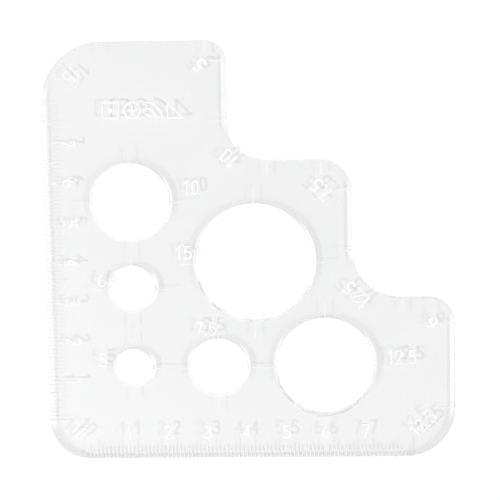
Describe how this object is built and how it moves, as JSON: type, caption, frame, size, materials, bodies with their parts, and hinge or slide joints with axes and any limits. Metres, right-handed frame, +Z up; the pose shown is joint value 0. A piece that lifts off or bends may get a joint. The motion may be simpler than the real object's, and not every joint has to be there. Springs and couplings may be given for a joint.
{
  "type": "circle template",
  "caption": "Stepped clear drawing template with round guide holes, rounded guide corners and millimetre scales on two edges.",
  "frame": {"origin": "middle of the bounding box at the underside, the face that lies on the work", "axes": "+X along the lower scale, +Y along the side scale, +Z up through the thickness, out of the marked face"},
  "size_m": [0.1024, 0.105, 0.005],
  "materials": {
    "clear_acrylic": "clear cast acrylic, polished faces and laser-cut edges",
    "white_paint": "matt white paint wiped into the engraving"
  },
  "bodies": {
    "root": {"clear_sheet": "clear_acrylic", "lower_scale_ticks": "white_paint", "side_scale_ticks": "white_paint", "lower_scale_numerals": "white_paint", "side_scale_numerals": "white_paint", "centre_circle_marks": "white_paint", "right_circle_marks": "white_paint", "upper_circle_marks": "white_paint", "row_circle_marks": "white_paint", "column_circle_marks": "white_paint", "lower_circle_marks": "white_paint", "lower_left_corner_marks": "white_paint", "upper_left_corner_marks": "white_paint", "tall_corner_marks": "white_paint", "upper_inner_corner_marks": "white_paint", "middle_corner_marks": "white_paint", "lower_inner_corner_marks": "white_paint", "low_corner_marks": "white_paint", "lower_right_corner_marks": "white_paint", "plain_pictograms": "white_paint"}
  },
  "joints": []
}
